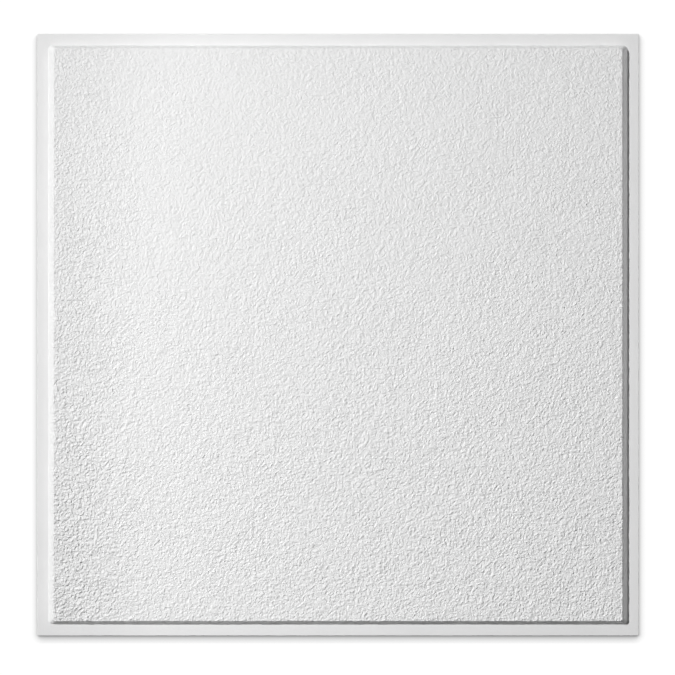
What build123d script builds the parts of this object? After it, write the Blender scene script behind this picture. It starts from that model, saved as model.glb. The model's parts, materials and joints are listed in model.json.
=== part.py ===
from build123d import *
from math import atan2, tan
import os

# A lay-in ceiling tile of expanded PVC, formed from one sheet. A flat flange runs round all
# four sides and rests on the ceiling grid. Inside it a leaning wall carries a large flat
# face, and the back has the same form, hollow.
#
# The tile lies face up: X and Y run along its sides, +Z is the way its face looks, and the
# origin is the centre of the square that the back of the flange rests on. Millimetres.

# Outline: a 609.6 mm grid module, less the play that lets the tile in past the tees
tile_width = 603.25
tile_length = 603.25
outline_corner_radius = 0.6

# Sheet, and the easing of its cut edges
sheet_thickness = 3.0
edge_break_radius = 0.4

# Flange, from the cut edge to the foot of the wall
flange_width = 11.5

# How far the face stands out of the flange, and how far the wall leans in on the way: more
# on the two sides that face X than on the two that face Y
drop = 7.94
side_wall_run = 5.8
end_wall_run = 3.8

# Corners of the wall seen from the front, at its foot and at the face
foot_corner_radius = 4.2
face_corner_radius = 3.0

# Bends of the front: round the face, and at the foot of the wall
face_edge_radius = 1.6
foot_bend_radius = 0.8

# Bend in the hollow, where the back of the face meets the wall
hollow_bend_radius = 0.9

# The front and the back of the sheet are parallel, so every outline of the hollow lies
# inside the same outline of the front: by the thickness times the tangent of half the slope
side_inset = sheet_thickness * tan(atan2(drop, side_wall_run) / 2)
end_inset = sheet_thickness * tan(atan2(drop, end_wall_run) / 2)
corner_inset = (side_inset + end_inset) / 2

# Foot of the wall on the front, and the mouth of the hollow on the back
foot_width = tile_width - 2 * flange_width
foot_length = tile_length - 2 * flange_width
mouth_width = foot_width - 2 * side_inset
mouth_length = foot_length - 2 * end_inset
mouth_bend_radius = foot_bend_radius + sheet_thickness

with BuildPart() as ceiling_tile:
    # Flat sheet, cut to size
    with BuildSketch(Plane.XY):
        RectangleRounded(tile_width, tile_length, outline_corner_radius)
    extrude(amount=sheet_thickness)
    fillet(ceiling_tile.faces().filter_by(Axis.Z).edges(), edge_break_radius)

    # Face and leaning wall of the front
    with BuildSketch(Plane.XY.offset(sheet_thickness)):
        RectangleRounded(foot_width, foot_length, foot_corner_radius)
    with BuildSketch(Plane.XY.offset(sheet_thickness + drop)):
        RectangleRounded(foot_width - 2 * side_wall_run, foot_length - 2 * end_wall_run,
                         face_corner_radius)
    loft(ruled=True)
    face = ceiling_tile.faces().sort_by(Axis.Z)[-1]
    fillet(face.edges(), face_edge_radius)
    flange_front = ceiling_tile.faces().filter_by(Axis.Z).sort_by(Axis.Z)[1]
    fillet(flange_front.inner_wires()[0].edges(), foot_bend_radius)

    # Hollow of the back, one sheet thickness behind the front all over
    with BuildSketch(Plane.XY):
        RectangleRounded(mouth_width, mouth_length, foot_corner_radius - corner_inset)
    with BuildSketch(Plane.XY.offset(drop)):
        RectangleRounded(mouth_width - 2 * side_wall_run, mouth_length - 2 * end_wall_run,
                         face_corner_radius - corner_inset)
    loft(ruled=True, mode=Mode.SUBTRACT)
    hollow_floor = ceiling_tile.faces(Select.LAST).filter_by(Axis.Z).sort_by(Axis.Z)[-1]
    fillet(hollow_floor.edges(), hollow_bend_radius)
    flange_back = ceiling_tile.faces().sort_by(Axis.Z)[0]
    fillet(flange_back.inner_wires()[0].edges(), mouth_bend_radius)

ceiling_tile.part.label = "ceiling_tile"

os.makedirs("parts", exist_ok=True)
export_step(ceiling_tile.part, "parts/ceiling_tile.step")

print("volume, mm3:", round(ceiling_tile.part.volume))
print("box, mm:", ceiling_tile.part.bounding_box().size)
for flat in ceiling_tile.faces().filter_by(Axis.Z).sort_by(Axis.Z):
    print("flat face at z", round(flat.center().Z, 3), "area", round(flat.area, 1))
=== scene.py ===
import json
from math import atan2, cos, pi, radians, sin, tan

import bmesh
import bpy
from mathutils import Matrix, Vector


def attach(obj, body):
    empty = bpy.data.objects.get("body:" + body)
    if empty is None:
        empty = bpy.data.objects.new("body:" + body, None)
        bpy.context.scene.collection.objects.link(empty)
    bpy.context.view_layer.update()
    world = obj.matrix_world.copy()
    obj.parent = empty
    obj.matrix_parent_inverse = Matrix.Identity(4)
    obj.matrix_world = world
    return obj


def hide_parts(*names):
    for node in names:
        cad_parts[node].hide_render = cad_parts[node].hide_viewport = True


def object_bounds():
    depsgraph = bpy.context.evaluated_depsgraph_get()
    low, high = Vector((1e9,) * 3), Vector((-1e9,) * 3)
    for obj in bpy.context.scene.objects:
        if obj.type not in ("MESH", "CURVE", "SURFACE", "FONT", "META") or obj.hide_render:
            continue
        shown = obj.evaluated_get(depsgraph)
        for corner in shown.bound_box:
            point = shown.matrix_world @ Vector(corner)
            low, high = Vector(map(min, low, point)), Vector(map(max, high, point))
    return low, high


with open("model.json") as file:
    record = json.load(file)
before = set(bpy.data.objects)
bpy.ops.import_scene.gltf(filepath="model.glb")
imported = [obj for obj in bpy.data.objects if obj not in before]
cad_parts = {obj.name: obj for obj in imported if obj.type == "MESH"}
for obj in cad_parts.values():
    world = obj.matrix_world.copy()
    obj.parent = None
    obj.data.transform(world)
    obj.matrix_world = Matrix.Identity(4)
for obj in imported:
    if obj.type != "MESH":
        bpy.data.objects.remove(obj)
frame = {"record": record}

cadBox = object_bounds()
mm = 0.001               # sizes are written in millimetres, and the scene is in metres


def linearColour(hexCode):
    shares = [int(hexCode[i:i + 2], 16) / 255 for i in (1, 3, 5)]
    return [s / 12.92 if s <= 0.04045 else ((s + 0.055) / 1.055) ** 2.4 for s in shares] + [1]


def addNode(tree, kind, inputs=None, **settings):
    node = tree.nodes.new(kind)
    for name, value in settings.items():
        setattr(node, name, value)
    for socket, value in (inputs or {}).items():
        if isinstance(value, bpy.types.NodeSocket):
            tree.links.new(value, node.inputs[socket])
        else:
            node.inputs[socket].default_value = value
    return node


def newObject(name, data):
    thing = bpy.data.objects.new(name, data)
    bpy.context.scene.collection.objects.link(thing)
    return thing


# Camera: straight above the tile, with the photo's top side at +Y
shot = {
    "framePixels": 675,
    "tilePixels": 600.9,             # how wide the tile is in the photo
    "tileCentre": (338.0, 334.8),    # where its centre is there
    "height": 2500,
}
tileWidth = (cadBox[1].x - cadBox[0].x) / mm
pixel = tileWidth / shot["tilePixels"]           # mm on the tile for each pixel
camera = newObject("camera", bpy.data.cameras.new("camera"))
camera.data.lens = camera.data.sensor_width * shot["height"] / (pixel * shot["framePixels"])
camera.location = Vector((
    (shot["framePixels"] / 2 - shot["tileCentre"][0]) * pixel,
    (shot["tileCentre"][1] - shot["framePixels"] / 2) * pixel,
    shot["height"],
)) * mm
bpy.context.scene.camera = camera
bpy.context.scene.view_settings.view_transform = "Standard"
print("camera set")

# Lights: a small lamp from the upper left rakes the stucco, and a spot beside it lights all
# but the tile's left edge. Three low cards and a weak, even room fill the shadows.
keyPlace = (-1200, 540, 1440)
lamps = {
    "lamp": {"place": keyPlace, "aim": (-150, -500, 0), "size": 60, "strength": 12.35,
             "fade": 0.3},
    "spot": {"place": keyPlace, "aim": (255, 219, 1269), "size": 60, "strength": 8.4,
             "fade": 0.3, "cone": 100, "edge": 0.137},
    "card": {"place": (1500, 220, 90), "aim": (0, 0, 0), "size": 300, "strength": 4.9,
             "fade": 2},
    "farCard": {"place": (-250, 1500, 90), "aim": (0, 0, 0), "size": 300, "strength": 1.7,
                "fade": 2},
    "nearCard": {"place": (-220, -700, 80), "aim": (-150, -290, 5), "size": 150,
                 "strength": 0.17, "fade": 2},
}
room = {
    "light": 0.017,          # what it sheds on the tile
    "seen": 1.0,             # how white it looks
}


def addLamp(name):
    values = lamps[name]
    if "cone" in values:
        data = bpy.data.lights.new(name, "SPOT")
        data.spot_size = radians(values["cone"])
        data.spot_blend = values["edge"]
        data.shadow_soft_size = values["size"] / 2 * mm
    else:
        data = bpy.data.lights.new(name, "AREA")
        data.shape = "DISK"
        data.size = values["size"] * mm
    data.energy = values["strength"]
    data.use_nodes = True
    tree = data.node_tree
    tree.nodes.clear()
    # The light weakens with the distance to the power that "fade" says: 2 is a bare lamp's
    path = addNode(tree, "ShaderNodeLightPath")
    kept = addNode(tree, "ShaderNodeMath", {
        0: path.outputs["Ray Length"], 1: 2 - values["fade"]}, operation="POWER")
    emission = addNode(tree, "ShaderNodeEmission", {"Strength": kept.outputs[0]})
    addNode(tree, "ShaderNodeOutputLight", {"Surface": emission.outputs[0]})
    lamp = newObject(name, data)
    lamp.location = Vector(values["place"]) * mm
    lamp.visible_camera = False
    way = Vector(values["aim"]) * mm - lamp.location
    lamp.rotation_euler = way.to_track_quat("-Z", "Y").to_euler()


for lampName in lamps:
    addLamp(lampName)

world = bpy.data.worlds.new("room")
bpy.context.scene.world = world
world.use_nodes = True
world.node_tree.nodes.clear()


def seenOrMirrored(tree):
    # 1 for what the camera sees straight, or in a mirror or through glass, otherwise 0
    path = addNode(tree, "ShaderNodeLightPath")
    mirrored = addNode(tree, "ShaderNodeMath", {
        0: path.outputs["Is Camera Ray"], 1: path.outputs["Is Glossy Ray"]}, operation="MAXIMUM")
    either = addNode(tree, "ShaderNodeMath", {
        0: mirrored.outputs[0], 1: path.outputs["Is Transmission Ray"]}, operation="MAXIMUM")
    return either.outputs[0]


roomStrength = addNode(world.node_tree, "ShaderNodeMapRange", {
    "Value": seenOrMirrored(world.node_tree), "To Min": room["light"], "To Max": room["seen"]})
roomGlow = addNode(world.node_tree, "ShaderNodeBackground", {
    "Color": linearColour("#ffffff"), "Strength": roomStrength.outputs[0]})
addNode(world.node_tree, "ShaderNodeOutputWorld", {"Surface": roomGlow.outputs[0]})

# Floor: white paper that glows with the room's soft light, with a painted shadow where the tile
# holds that glow off near its sides.
# The paper is grey to the lamps, so that their own shadows on it stay faint.
floorValues = {
    "width": 14000,
    "colour": "#3a3a3a",
    "lift": 1.0,             # the room's light on it, as the camera sees it
    "bounce": 0.25,          # and what of it reaches the tile's sides
    "near": 9,               # how far the painted shadow reaches out from the tile
    "hold": 1.3,             # and how firmly
    "lean": (-0.1, 1, 1),    # where most of that light comes from
    "samples": 32,
}
floorMesh = bpy.data.meshes.new("floor")
reach = floorValues["width"] / 2 * mm
floorMesh.from_pydata([(x * reach, y * reach, 0) for x, y in ((-1, -1), (1, -1), (1, 1), (-1, 1))],
                      [], [(0, 1, 2, 3)])
floor = newObject("floor", floorMesh)
paper = bpy.data.materials.new("whitePaper")
paper.use_nodes = True
paper.node_tree.nodes.clear()
matt = addNode(paper.node_tree, "ShaderNodeBsdfDiffuse", {
    "Color": linearColour(floorValues["colour"])})
lightFrom = addNode(paper.node_tree, "ShaderNodeCombineXYZ", dict(
    enumerate(Vector(floorValues["lean"]).normalized())))
openSky = addNode(paper.node_tree, "ShaderNodeAmbientOcclusion", {
    "Distance": floorValues["near"] * mm, "Normal": lightFrom.outputs[0]},
    samples=floorValues["samples"])
seen = addNode(paper.node_tree, "ShaderNodeMapRange", {
    "Value": seenOrMirrored(paper.node_tree),
    "To Min": floorValues["bounce"], "To Max": floorValues["lift"]})
# Painted shadow: the glow dims where the tile is near
held = addNode(paper.node_tree, "ShaderNodeMath", {
    0: openSky.outputs["AO"], 1: floorValues["hold"]}, operation="POWER")
lift = addNode(paper.node_tree, "ShaderNodeMath", {
    0: seen.outputs[0], 1: held.outputs[0]}, operation="MULTIPLY")
glow = addNode(paper.node_tree, "ShaderNodeEmission", {"Strength": lift.outputs[0]})
both = addNode(paper.node_tree, "ShaderNodeAddShader", {0: matt.outputs[0], 1: glow.outputs[0]})
addNode(paper.node_tree, "ShaderNodeOutputMaterial", {"Surface": both.outputs[0]})
floorMesh.materials.append(paper)
print("lights and floor set")

# Stucco: the pattern that the embossing roll presses into the warm sheet, all of it below
# the face's own level. The mesh carries the broad lumps, and the bump what is too fine for it.
stucco = {
    "broad": {"lattice": 4.8, "depth": 0.79, "octaves": 0.0},
    "fine": {"lattice": 2.5, "depth": 1.15, "octaves": 0.5},
    "roughness": 0.7,        # how strong the finer octave is
    "wander": 0.6,           # how much the lumps are pulled out of round
    "highest": 0.935,        # the noise's own highest value
    "crease": (0.41, 0.66),  # where the painted shade in the creases starts and is full, as shares of the depth
    "patch": 24,             # size of the patches where it is shallower or deeper
    "patchOctaves": 1.0,
    "patchNoise": (0.3, 0.7),
    "patchShare": 0.08,
    "deeperDown": 0.3,       # the roll bit deeper toward -Y, by this share at the end
    "deeperRight": 0.2,      # and a little deeper toward +X
    "deeperLeft": 0.95,      # and again deeper in a strip along the left side
    "leftStrip": (-268, -192),
}


def stuccoHeight(tree, place, values):
    # Height in mm, at or under 0, for a place in mm
    lumps = addNode(tree, "ShaderNodeTexNoise", {
        "Vector": place, "Scale": 1 / values["lattice"], "Detail": values["octaves"],
        "Roughness": stucco["roughness"], "Distortion": stucco["wander"]})
    patches = addNode(tree, "ShaderNodeTexNoise", {
        "Vector": place, "Scale": 1 / stucco["patch"], "Detail": stucco["patchOctaves"]})
    low, high = stucco["patchNoise"]
    amount = addNode(tree, "ShaderNodeMapRange", {
        "Value": patches.outputs[0], "From Min": low, "From Max": high,
        "To Min": (1 - stucco["patchShare"]) * values["depth"],
        "To Max": (1 + stucco["patchShare"]) * values["depth"]})
    sunk = addNode(tree, "ShaderNodeMath", {
        0: lumps.outputs[0], 1: stucco["highest"]}, operation="SUBTRACT")
    height = addNode(tree, "ShaderNodeMath", {
        0: sunk.outputs[0], 1: amount.outputs[0]}, operation="MULTIPLY")
    return height.outputs[0]


def pressStucco(sheet):
    # Moves the mesh along its normals by the pattern, as far as each point's reliefShare says
    tree = bpy.data.node_groups.new("pressStucco", "GeometryNodeTree")
    tree.interface.new_socket("Geometry", in_out="INPUT", socket_type="NodeSocketGeometry")
    tree.interface.new_socket("Geometry", in_out="OUTPUT", socket_type="NodeSocketGeometry")
    given = addNode(tree, "NodeGroupInput")
    position = addNode(tree, "GeometryNodeInputPosition")
    normal = addNode(tree, "GeometryNodeInputNormal")
    share = addNode(tree, "GeometryNodeInputNamedAttribute", {"Name": "reliefShare"},
                    data_type="FLOAT")
    place = addNode(tree, "ShaderNodeVectorMath", {
        0: position.outputs[0], "Scale": 1 / mm}, operation="SCALE")
    height = stuccoHeight(tree, place.outputs[0], stucco["broad"])
    wanted = addNode(tree, "ShaderNodeMath", {
        0: height, 1: share.outputs[0]}, operation="MULTIPLY")
    metres = addNode(tree, "ShaderNodeMath", {
        0: wanted.outputs[0], 1: mm}, operation="MULTIPLY")
    offset = addNode(tree, "ShaderNodeVectorMath", {
        0: normal.outputs[0], "Scale": metres.outputs[0]}, operation="SCALE")
    moved = addNode(tree, "GeometryNodeSetPosition", {
        "Geometry": given.outputs[0], "Offset": offset.outputs[0]})
    addNode(tree, "NodeGroupOutput", {0: moved.outputs[0]})
    sheet.modifiers.new("stucco", "NODES").node_group = tree


# Materials. The tile is expanded PVC: a white foam with a closed skin.
pvc = {
    "colour": "#f0f0f0",
    "shade": "#ededed",      # where the skin is a little thinner
    "cloud": 60,             # width of those places
    "cloudOctaves": 3.0,
    "ior": 1.53,
    "embossed": {"roughness": 0.58, "paintedCreaseShade": 0.07},    # how much the painted shade darkens the creases
    # The flange's colour is darker than the face's: painted shade, so that the flange looks dimmer
    # beside the face
    "pressed": {"roughness": 0.58, "colour": "#e5e5e5", "ripple": 5.0, "octaves": 2.0,
                "strength": 0.12},
    "back": {"roughness": 0.66, "peel": 2.5, "octaves": 3.0, "strength": 0.25},
    # Real pores are about 0.3 mm wide, drawn coarser so that they show
    "sawn": {"roughness": 0.75, "pore": 1.2, "poreDepth": 0.3, "strength": 0.5},
}


def newMaterial(name, finish):
    material = bpy.data.materials.new(name)
    material.use_nodes = True
    tree = material.node_tree
    tree.nodes.clear()
    coordinates = addNode(tree, "ShaderNodeTexCoord")
    place = addNode(tree, "ShaderNodeVectorMath", {
        0: coordinates.outputs["Object"], "Scale": 1 / mm}, operation="SCALE").outputs[0]
    clouds = addNode(tree, "ShaderNodeTexNoise", {
        "Vector": place, "Scale": 1 / pvc["cloud"], "Detail": pvc["cloudOctaves"]})
    clouded = addNode(tree, "ShaderNodeMix", {
        "Factor": clouds.outputs[0], 6: linearColour(pvc["shade"]),
        7: linearColour(finish.get("colour", pvc["colour"]))}, data_type="RGBA")
    surface = addNode(tree, "ShaderNodeBsdfPrincipled", {
        "Base Color": clouded.outputs[2], "Roughness": finish["roughness"], "IOR": pvc["ior"]})
    addNode(tree, "ShaderNodeOutputMaterial", {"Surface": surface.outputs[0]})
    return material, tree, place, surface


def embossedSkin():
    # Expanded PVC, embossed while warm: satin lumps with creases between them, whose colour is
    # darkened as painted shade
    finish = pvc["embossed"]
    material, tree, place, surface = newMaterial("embossedPvcSkin", finish)
    share = addNode(tree, "ShaderNodeAttribute", attribute_name="reliefShare")
    height = stuccoHeight(tree, place, stucco["fine"])
    wanted = addNode(tree, "ShaderNodeMath", {
        0: height, 1: share.outputs["Fac"]}, operation="MULTIPLY")
    bump = addNode(tree, "ShaderNodeBump", {"Height": wanted.outputs[0], "Distance": mm})
    tree.links.new(bump.outputs[0], surface.inputs["Normal"])
    # Painted shade: the colour is darkened in the deepest creases, as far as the relief share goes
    depth = stucco["fine"]["depth"]
    start, end = stucco["crease"]
    creasePaintedShade = addNode(tree, "ShaderNodeMapRange", {
        "Value": height, "From Min": -end * depth, "From Max": -start * depth,
        "To Min": 1 - finish["paintedCreaseShade"], "To Max": 1.0})
    colourWithPaintedShade = addNode(tree, "ShaderNodeMix", {
        "Factor": share.outputs["Fac"], 6: surface.inputs["Base Color"].links[0].from_socket,
        7: creasePaintedShade.outputs[0]}, data_type="RGBA", blend_type="MULTIPLY")
    tree.links.new(colourWithPaintedShade.outputs[2], surface.inputs["Base Color"])
    return material


def pressedSkin():
    # Expanded PVC, pressed denser between smooth plates: an even satin with a faint ripple, in a
    # darker colour that is painted shade
    finish = pvc["pressed"]
    material, tree, place, surface = newMaterial("pressedPvcSkin", finish)
    ripple = addNode(tree, "ShaderNodeTexNoise", {
        "Vector": place, "Scale": 1 / finish["ripple"], "Detail": finish["octaves"]})
    bump = addNode(tree, "ShaderNodeBump", {
        "Height": ripple.outputs[0], "Strength": finish["strength"], "Distance": mm})
    tree.links.new(bump.outputs[0], surface.inputs["Normal"])
    return material


def sawnEdge():
    # The cut edge shows the foam itself: matt, with open pores
    finish = pvc["sawn"]
    material, tree, place, surface = newMaterial("sawnPvcFoam", finish)
    pores = addNode(tree, "ShaderNodeTexVoronoi", {"Vector": place, "Scale": 1 / finish["pore"]})
    bump = addNode(tree, "ShaderNodeBump", {
        "Height": pores.outputs["Distance"], "Strength": finish["strength"],
        "Distance": finish["poreDepth"] * mm})
    tree.links.new(bump.outputs[0], surface.inputs["Normal"])
    return material


def backSkin():
    # The back never met the mould: a duller skin with a fine orange peel
    finish = pvc["back"]
    material, tree, place, surface = newMaterial("formedPvcBack", finish)
    peel = addNode(tree, "ShaderNodeTexNoise", {
        "Vector": place, "Scale": 1 / finish["peel"], "Detail": finish["octaves"]})
    bump = addNode(tree, "ShaderNodeBump", {
        "Height": peel.outputs[0], "Strength": finish["strength"], "Distance": mm})
    tree.links.new(bump.outputs[0], surface.inputs["Normal"])
    return material


print("materials ready")

# Tile: rings round its centre follow two sections, one through the sides that face X and one
# through the ends that face Y
mounts = {m["name"]: m for m in frame["record"]["mounts"]}
tile = {
    "sheet": mounts["grid_bearing_face"]["pos_m"][2] / mm,
    "drop": mounts["hollow_floor"]["pos_m"][2] / mm,
    "flange": 11.5,
    "sideRun": 5.8,          # how far the walls at the sides lean in
    "endRun": 3.8,           # and those at the ends
    "faceBend": (1.6, 4),    # radius and steps of each bend
    "footBend": (0.8, 3),
    "hollowBend": (0.9, 3),
    "edgeBend": (0.4, 3),
    "mouthSteps": 5,         # the back's bend at the foot, one sheet wider than the front's
    "faceCorner": 3.0,       # corners of the walls, seen from above
    "footCorner": 4.2,
    "outlineCorner": 0.6,
    "cornerSteps": 6,
    "wallRings": (0.35, 0.65),       # where rings cross the wall, from the face down
    "cells": 276,            # of the mesh, across the stucco
    "faceFade": 0.25,        # how far down the wall the face's full relief fades out
    "wallRelief": 0.3,       # how deep the stucco still is on the wall
    "wallFade": 0.7,         # and where that starts to fade
}
embossed, pressed, sawn, back = range(4)         # the materials' order on the mesh
half = tileWidth / 2
foot = half - tile["flange"]
top = tile["sheet"] + tile["drop"]


def ramp(value, zeroAt, oneAt):
    return max(0.0, min(1.0, (value - zeroAt) / (oneAt - zeroAt)))


def section(run):
    # Corners as (reach, height), from the face over the cut edge to the hollow
    mouth = foot - tile["sheet"] * tan(atan2(tile["drop"], run) / 2)
    return [Vector(corner) for corner in (
        (0, top), (foot - run, top), (foot, tile["sheet"]), (half, tile["sheet"]),
        (half, 0), (mouth, 0), (mouth - run, tile["drop"]), (0, tile["drop"]))]


sections = [section(tile["sideRun"]), section(tile["endRun"])]


def bendPoints(before, corner, after, radius, steps):
    # The points of a round bend at a corner of a section
    toBefore, toAfter = (before - corner).normalized(), (after - corner).normalized()
    halfAngle = toBefore.angle(toAfter) / 2
    start = corner + toBefore * radius / tan(halfAngle)
    end = corner + toAfter * radius / tan(halfAngle)
    centre = corner + (toBefore + toAfter).normalized() * radius / sin(halfAngle)
    first, final = (start - centre).normalized(), (end - centre).normalized()
    return [centre + first.slerp(final, k / steps) * radius for k in range(steps + 1)]


def bend(k, radius, steps):
    # The same bend in both sections, as pairs of points
    return list(zip(*(bendPoints(*s[k - 1:k + 2], radius, steps) for s in sections)))


def ringPoints(side, end, radius, sideSteps):
    # A rectangle with round corners. Its sides are at one (reach, height), its ends at another.
    centres = [Vector((x * (side.x - radius), y * (end.x - radius)))
               for x, y in ((1, 1), (-1, 1), (-1, -1), (1, -1))]
    points = []
    for quarter, centre in enumerate(centres):
        for k in range(tile["cornerSteps"] + 1):
            angle = (quarter + k / tile["cornerSteps"]) * pi / 2
            height = side.y * cos(angle) ** 2 + end.y * sin(angle) ** 2
            points.append(Vector((centre.x + radius * cos(angle),
                                  centre.y + radius * sin(angle), height)))
        start = points[-1]
        along = (centres[(quarter + 1) % 4] - centre).to_3d() / sideSteps
        points += [start + along * k for k in range(1, sideSteps)]
    return points


def cornerRadius(reach, inner, outer, less=0):
    # Of a ring on a wall between two reaches. Beyond them the corner keeps its centre.
    slanted = tile["faceCorner"] + (tile["footCorner"] - tile["faceCorner"]) * ramp(
        reach, inner, outer)
    return slanted - less + min(reach - inner, 0) + max(reach - outer, 0)


def addRing(mesh, points):
    return [mesh.verts.new(point * mm) for point in points]


def joinRings(mesh, outer, inner, material):
    for k in range(len(outer)):
        corners = [outer[k - 1], outer[k], inner[k], inner[k - 1]]
        corners = [v for n, v in enumerate(corners) if v not in corners[:n]]
        mesh.faces.new(corners).material_index = material


def makeFront(mesh):
    # Face and wall, as far as the ring at the wall's foot
    faceReach, footReach = sections[0][1].x, sections[0][2].x
    rings = bend(1, *tile["faceBend"])

    # A fine grid as far as the centres of the face's rounded corners
    flatSide, flatEnd = rings[0]
    flatCorner = cornerRadius(flatSide.x, faceReach, footReach)
    wide, long = flatSide.x - flatCorner, flatEnd.x - flatCorner
    cells = tile["cells"]
    cellWide, cellLong = 2 * wide / cells, 2 * long / cells
    grid = [addRing(mesh, [Vector((x * cellWide - wide, y * cellLong - long, top))
                           for y in range(cells + 1)]) for x in range(cells + 1)]
    for x in range(cells):
        for y in range(cells):
            mesh.faces.new((grid[x][y], grid[x + 1][y], grid[x + 1][y + 1], grid[x][y + 1]))

    # The grid's border, in the order of the rings round it
    last = [grid[round((point.x + wide) / cellWide)][round((point.y + long) / cellLong)]
            for point in ringPoints(Vector((wide, top)), Vector((long, top)), 0, cells)]
    rings += [[s[1].lerp(s[2], t) for s in sections] for t in tile["wallRings"]]
    rings += bend(2, *tile["footBend"])
    for side, end in rings:
        radius = cornerRadius(side.x, faceReach, footReach)
        ring = addRing(mesh, ringPoints(side, end, radius, cells))
        joinRings(mesh, ring, last, embossed)
        last = ring
    return last, wide


def setRelief(mesh, wide):
    # Relief is full on the face and its bend, and fades out down the wall
    reliefShare = mesh.verts.layers.float["reliefShare"]
    stripEnd, stripStart = stucco["leftStrip"]
    for vertex in mesh.verts:
        x, y, z = vertex.co / mm
        down = (top - z) / tile["drop"]
        onFace = ramp(down, tile["faceFade"], 0) * (1 - tile["wallRelief"])
        onWall = ramp(down, 1, tile["wallFade"]) * tile["wallRelief"]
        deeper = 1 + (stucco["deeperRight"] * x - stucco["deeperDown"] * y) / wide
        strip = 1 + stucco["deeperLeft"] * ramp(x, stripStart, stripEnd)
        vertex[reliefShare] = (onFace + onWall) * deeper * strip


def makeFlangeAndBack(mesh, footRing):
    # Flange, cut edge and back, with few points
    edge = bend(3, *tile["edgeBend"]) + bend(4, *tile["edgeBend"])
    rings = [addRing(mesh, ringPoints(side, end, tile["outlineCorner"] + side.x - half, 1))
             for side, end in edge]
    border = [mesh.edges.new((ring[k - 1], ring[k])) for ring in (footRing, rings[0])
              for k in range(len(ring)) if not mesh.edges.get((ring[k - 1], ring[k]))]
    border += [mesh.edges.get((footRing[k - 1], footRing[k])) for k in range(len(footRing))]
    filled = bmesh.ops.triangle_fill(mesh, use_beauty=True, edges=list(set(border)))
    for face in filled["geom"]:
        if isinstance(face, bmesh.types.BMFace):
            face.material_index = pressed
    for outer, inner in zip(rings[1:], rings):
        joinRings(mesh, outer, inner, sawn)
    last = rings[-1]
    mouthReach, hollowReach = sections[0][5].x, sections[0][6].x
    inset = foot - (mouthReach + sections[1][5].x) / 2
    mouth = bend(5, tile["footBend"][0] + tile["sheet"], tile["mouthSteps"])
    for side, end in mouth + bend(6, *tile["hollowBend"]):
        radius = cornerRadius(side.x, hollowReach, mouthReach, inset)
        ring = addRing(mesh, ringPoints(side, end, radius, 1))
        joinRings(mesh, ring, last, back)
        last = ring
    mesh.faces.new(last).material_index = back


def makeTile():
    mesh = bmesh.new()
    mesh.verts.layers.float.new("reliefShare")
    footRing, wide = makeFront(mesh)
    setRelief(mesh, wide)
    makeFlangeAndBack(mesh, footRing)
    bmesh.ops.recalc_face_normals(mesh, faces=mesh.faces)
    for face in mesh.faces:
        face.smooth = True
    data = bpy.data.meshes.new("ceilingTile")
    mesh.to_mesh(data)
    mesh.free()
    for material in (embossedSkin(), pressedSkin(), sawnEdge(), backSkin()):
        data.materials.append(material)
    sheet = newObject("formedTile", data)
    pressStucco(sheet)
    normals = sheet.modifiers.new("evenNormals", "WEIGHTED_NORMAL")
    normals.keep_sharp = True
    depsgraph = bpy.context.evaluated_depsgraph_get()
    shaped = bpy.data.meshes.new_from_object(sheet.evaluated_get(depsgraph))
    sheet.modifiers.clear()
    sheet.data = shaped
    return sheet


formedTile = makeTile()
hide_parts("ceiling_tile")
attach(formedTile, "root")
print("tile made:", len(formedTile.data.polygons), "faces")
